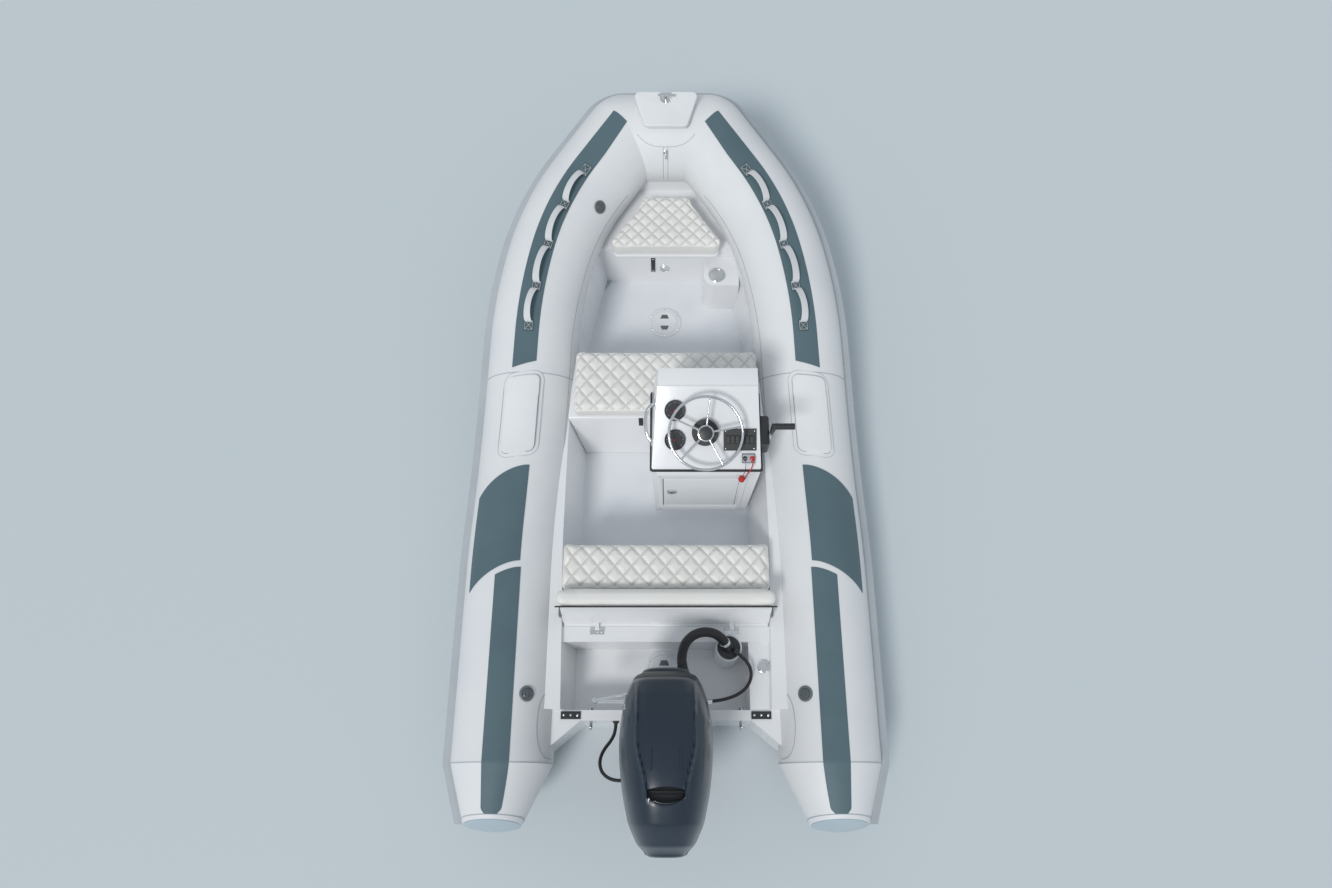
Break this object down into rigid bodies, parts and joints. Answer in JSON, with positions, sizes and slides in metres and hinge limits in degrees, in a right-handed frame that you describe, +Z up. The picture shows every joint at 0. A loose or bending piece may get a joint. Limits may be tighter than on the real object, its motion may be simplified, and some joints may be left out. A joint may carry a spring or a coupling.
{
  "type": "rigid inflatable boat with outboard",
  "caption": "Small rigid-hull inflatable boat with V bottom, inflated collar, quilted benches, side console, stowage lockers and a tilting, steering outboard engine.",
  "frame": {"origin": "on the centre line, amidships, at the waterline", "axes": "+X starboard, +Y bow, +Z up"},
  "size_m": [1.976, 3.7944, 1.486],
  "materials": {
    "black_plastic": "black moulded plastic",
    "collar_fabric": "matt white coated fabric",
    "cushion_vinyl": "quilted white vinyl",
    "engine_block": "grey cast block",
    "engine_paint": "metallic dark blue-grey paint",
    "gelcoat": "glossy white gelcoat",
    "hose_rubber": "black hose",
    "pale_plastic": "white moulded plastic",
    "polished_metal": "polished stainless steel",
    "propeller_metal": "painted aluminium propeller",
    "step_pad": "moulded pale rubber",
    "strake": "grey ribbed rubber",
    "valve_plastic": "grey valve cap",
    "webbing": "pale nylon webbing"
  },
  "bodies": {
    "hull": {"aft_bench_base": "gelcoat", "air_valves": "valve_plastic", "bow_cleat": "polished_metal", "bow_locker_latch": "polished_metal", "bow_moulding": "gelcoat", "bow_step_pad": "gelcoat", "clamp_bracket": "engine_paint", "cockpit_sole": "gelcoat", "console": "gelcoat", "cup_holder_pod": "gelcoat", "dash_instruments": "black_plastic", "deck_plates": "pale_plastic", "door_frame": "gelcoat", "fuel_hose": "hose_rubber", "grab_handles": "webbing", "grab_rail": "polished_metal", "helm_base": "black_plastic", "hull": "gelcoat", "lid_hinges": "polished_metal", "mid_bench_base": "gelcoat", "mid_bench_cushion": "cushion_vinyl", "rigging_hose": "hose_rubber", "rub_strake_bow": "strake", "rub_strake_port": "strake", "rub_strake_starboard": "strake", "side_port": "gelcoat", "side_starboard": "gelcoat", "side_step_pads": "step_pad", "splash_well": "gelcoat", "steering_cable": "hose_rubber", "stern_cones": "collar_fabric", "stern_fittings": "black_plastic", "throttle": "black_plastic", "tow_eyes": "polished_metal", "transom": "gelcoat", "tube_aft_port": "collar_fabric", "tube_aft_starboard": "collar_fabric", "tube_bow": "collar_fabric", "tube_forward_port": "collar_fabric", "tube_forward_starboard": "collar_fabric"},
    "swivel": {"swivel_bracket": "engine_paint"},
    "engine": {"midsection": "engine_paint", "gearcase": "engine_paint", "cowl": "engine_paint", "cowl_pan": "engine_paint", "powerhead": "engine_block"},
    "propeller": {"propeller": "propeller_metal"},
    "ram": {"steering_ram": "polished_metal"},
    "helm_wheel": {"steering_wheel": "polished_metal"},
    "aft_lid": {"aft_seat_lid": "gelcoat", "aft_seat_cushion": "cushion_vinyl", "aft_bolster": "cushion_vinyl"},
    "bow_lid": {"bow_locker_lid": "gelcoat", "bow_cushion": "cushion_vinyl"},
    "door": {"console_door": "gelcoat", "console_door_latch": "polished_metal"}
  },
  "joints": [
    {"name": "engine_tilt", "type": "hinge", "parent": "hull", "child": "swivel", "pos_m": [0, -1.3, 0.392], "axis": [-1, 0, 0], "range_deg": [0, 60], "deforming": ["rigging_hose", "fuel_hose"]},
    {"name": "engine_steer", "type": "hinge", "parent": "swivel", "child": "engine", "pos_m": [0, -1.462, 0.23], "axis": [0, 0, 1], "range_deg": [-30, 30], "deforming": ["rigging_hose", "fuel_hose"]},
    {"name": "prop_spin", "type": "hinge", "parent": "engine", "child": "propeller", "pos_m": [0, -1.748, -0.35], "axis": [0, 1, 0], "continuous": true},
    {"name": "ram_slide", "type": "slide", "parent": "swivel", "child": "ram", "axis": [1, 0, 0], "range_m": [-0.115, 0.115]},
    {"name": "wheel_turn", "type": "hinge", "parent": "hull", "child": "helm_wheel", "pos_m": [0.176, -0.19932, 0.83566], "axis": [0, 0.4384, -0.8988], "range_deg": [-560, 560]},
    {"name": "aft_lid_hinge", "type": "hinge", "parent": "hull", "child": "aft_lid", "pos_m": [0, -0.978, 0.3775], "axis": [-1, 0, 0], "range_deg": [-80, 0]},
    {"name": "bow_lid_hinge", "type": "hinge", "parent": "hull", "child": "bow_lid", "pos_m": [0, 1.345, 0.442], "axis": [-1, 0, 0], "range_deg": [0, 22]},
    {"name": "console_door_hinge", "type": "hinge", "parent": "hull", "child": "door", "pos_m": [0.3433, -0.331, 0.41], "axis": [0, 0, 1], "range_deg": [0, 45]}
  ],
  "couplings": [
    {"joint": "wheel_turn", "follows": "engine_steer", "ratio": 18},
    {"joint": "ram_slide", "follows": "engine_steer", "m_per_rad": -0.2053}
  ]
}
